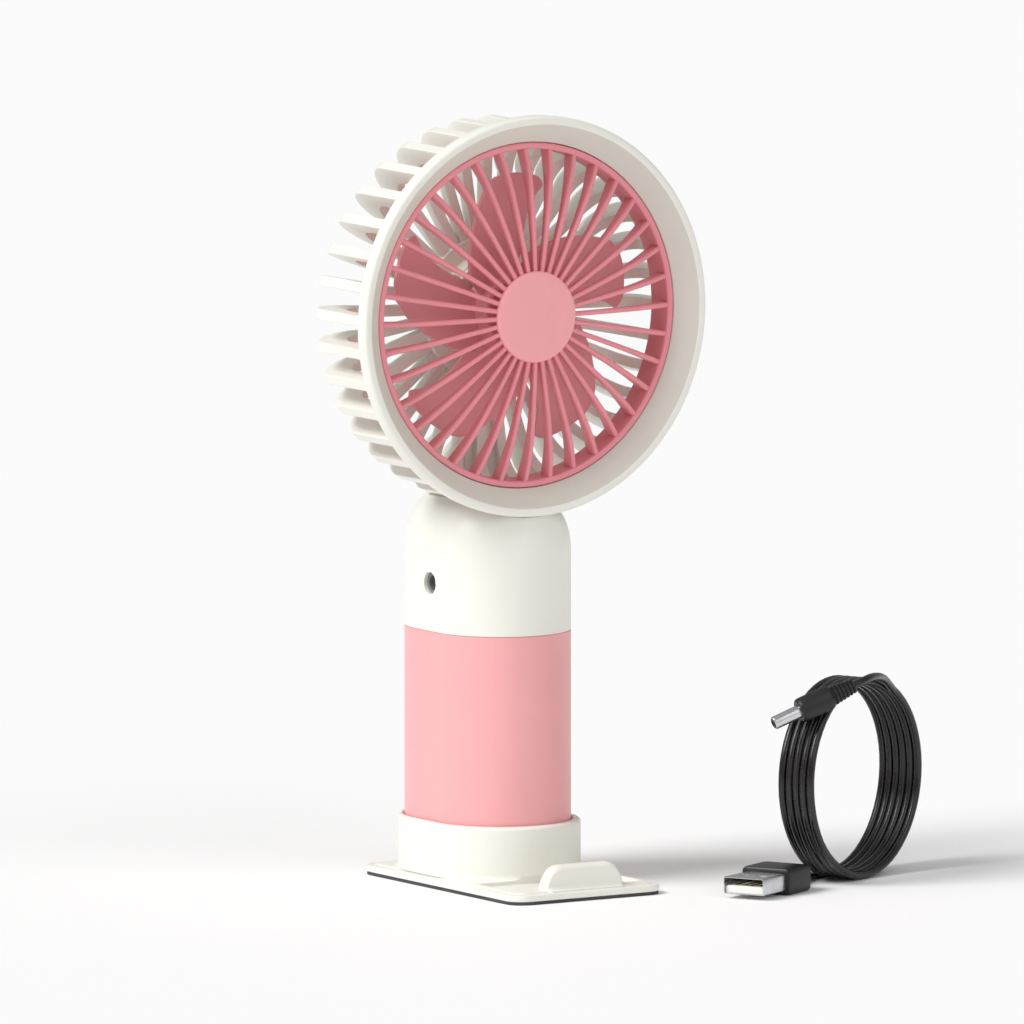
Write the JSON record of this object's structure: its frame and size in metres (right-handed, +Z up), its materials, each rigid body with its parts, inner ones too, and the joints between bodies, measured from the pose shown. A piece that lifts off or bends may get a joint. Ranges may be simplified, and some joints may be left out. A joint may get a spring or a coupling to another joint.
{
  "type": "handheld electric fan",
  "caption": "Rechargeable handheld fan with a ribbed round head on an oval handle, standing in a dock with a phone slot, beside its coiled charging lead.",
  "frame": {"origin": "on the table, under the middle of the handle", "axes": "+Z up, -Y the way the fan blows, +X to the right seen from behind"},
  "size_m": [0.1599, 0.1022, 0.2027],
  "materials": {
    "pink_shell": "fine matt moulded",
    "grille_pink": "satin moulded",
    "badge_pink": "satin moulded, lighter than the grille",
    "impeller_pink": "satin moulded",
    "cream_shell": "smooth satin moulded",
    "inner_white": "plain moulded",
    "dark_foot": "fine matt",
    "black_plastic": "fine matt",
    "jack_grey": "fine matt",
    "button_black": "matt",
    "cord_black": "soft satin sheath",
    "plated_steel": "bright nickel plate",
    "shaft_steel": "ground",
    "core_steel": "stacked sheet",
    "magnet_dark": "sintered ferrite",
    "brass": "dull",
    "copper": "enamelled copper wire",
    "gold_plate": "gold plated",
    "battery_wrap": "shrink wrap over a steel can",
    "board_green": "solder mask",
    "wire_red": "insulated wire",
    "lens_clear": "translucent",
    "white_plastic": "plain"
  },
  "bodies": {
    "dock": {"dock_base": "cream_shell", "dock_pad": "dark_foot"},
    "fan": {"handle_sleeve": "pink_shell", "bottom_cap": "pink_shell", "cap_screws": "plated_steel", "battery_cell": "battery_wrap", "battery_tabs": "plated_steel", "battery_leads": "wire_red", "chassis": "inner_white", "circuit_board": "board_green", "board_parts": "black_plastic", "board_screws": "plated_steel", "tact_switch": "black_plastic", "indicator_lens": "lens_clear", "jack_housing": "jack_grey", "jack_pin": "plated_steel", "neck_shell": "cream_shell", "head_screws": "plated_steel", "rear_cage": "cream_shell", "cage_hoop": "cream_shell", "rear_cap": "cream_shell", "motor_can": "plated_steel", "motor_end_cap": "black_plastic", "motor_bushings": "brass", "motor_magnets": "magnet_dark", "motor_brushes": "brass", "motor_terminals": "gold_plate", "motor_leads": "wire_red", "motor_clamp": "cream_shell", "clamp_screws": "plated_steel", "front_bezel": "cream_shell", "front_grille": "grille_pink", "grille_badge": "badge_pink"},
    "rotor": {"motor_shaft": "shaft_steel", "armature_core": "core_steel", "armature_windings": "copper", "commutator": "copper", "impeller": "impeller_pink"},
    "button": {"power_button": "cream_shell", "switch_plunger": "button_black"},
    "lead": {"lead_coil": "cord_black", "lead_to_plug": "cord_black", "lead_to_usb": "cord_black", "dc_plug_body": "black_plastic", "dc_plug_barrel": "plated_steel", "dc_plug_insulator": "black_plastic", "usb_plug_body": "black_plastic", "usb_shell": "plated_steel", "usb_tongue": "white_plastic", "usb_contacts": "gold_plate"}
  },
  "joints": [
    {"name": "fan_lift", "type": "slide", "parent": "dock", "child": "fan", "axis": [0, 0, 1], "range_m": [0, 0.06]},
    {"name": "impeller_spin", "type": "hinge", "parent": "fan", "child": "rotor", "pos_m": [0, 0, 0.1502], "axis": [0, -1, 0], "continuous": true},
    {"name": "power_button_press", "type": "slide", "parent": "fan", "child": "button", "axis": [0, -1, 0], "range_m": [0, 0.0005], "stiffness_N_per_m": 400, "springref_m": -0.001},
    {"name": "lead_lift", "type": "slide", "parent": "dock", "child": "lead", "axis": [0, 0, 1], "range_m": [0, 0.05]}
  ]
}
